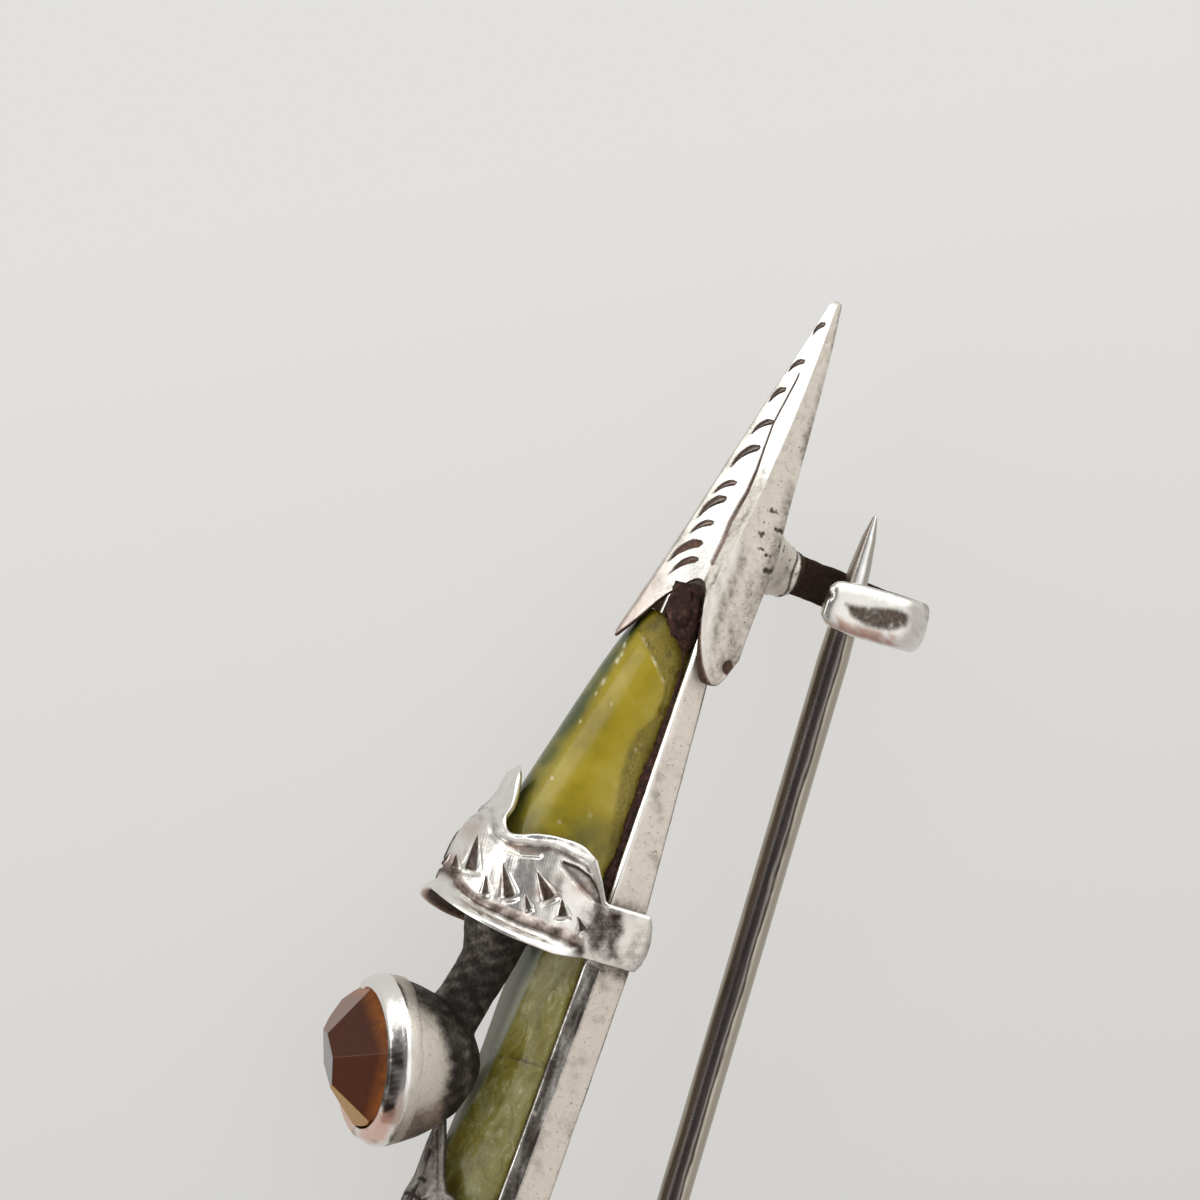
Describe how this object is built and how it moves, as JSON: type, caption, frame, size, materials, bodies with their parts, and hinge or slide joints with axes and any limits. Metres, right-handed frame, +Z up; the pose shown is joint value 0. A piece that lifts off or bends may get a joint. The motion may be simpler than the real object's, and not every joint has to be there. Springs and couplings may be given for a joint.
{
  "type": "kilt pin",
  "caption": "Dirk-shaped silver kilt pin set with green stones and a faceted amber stone in a raised cup, with a hinged pin and a C-shaped catch.",
  "frame": {"origin": "on the surface that the brooch lies on, under the middle of its box", "axes": "+X along the brooch from the cap's point to the pommel, -Y out of its front, where the cup is, +Z up"},
  "size_m": [0.062, 0.0233, 0.0098],
  "materials": {
    "tray_silver": "satin",
    "cap_silver": "worn polish",
    "collar_silver": "worn polish",
    "carved_silver": "oxidised",
    "pin_steel": "polished",
    "dark_rivets": "oxidised",
    "olive_stone": "polished",
    "marbled_stone": "polished",
    "amber_stone": "faceted",
    "cement": "matte"
  },
  "bodies": {
    "brooch": {"back_frame": "tray_silver", "chape": "cap_silver", "chape_rivet_near": "dark_rivets", "chape_rivet_far": "dark_rivets", "upper_stone": "olive_stone", "upper_cement": "cement", "collar": "collar_silver", "gem": "amber_stone", "lower_stone": "marbled_stone", "lower_cement": "cement", "hilt_mount": "carved_silver", "hinge_rivet": "pin_steel"},
    "pin": {"pin_stem": "pin_steel"}
  },
  "joints": [
    {"name": "pin_hinge", "type": "hinge", "parent": "brooch", "child": "pin", "pos_m": [0.0262, 0.00746, 0.00384], "axis": [0, 0, -1], "range_deg": [0, 95]}
  ]
}
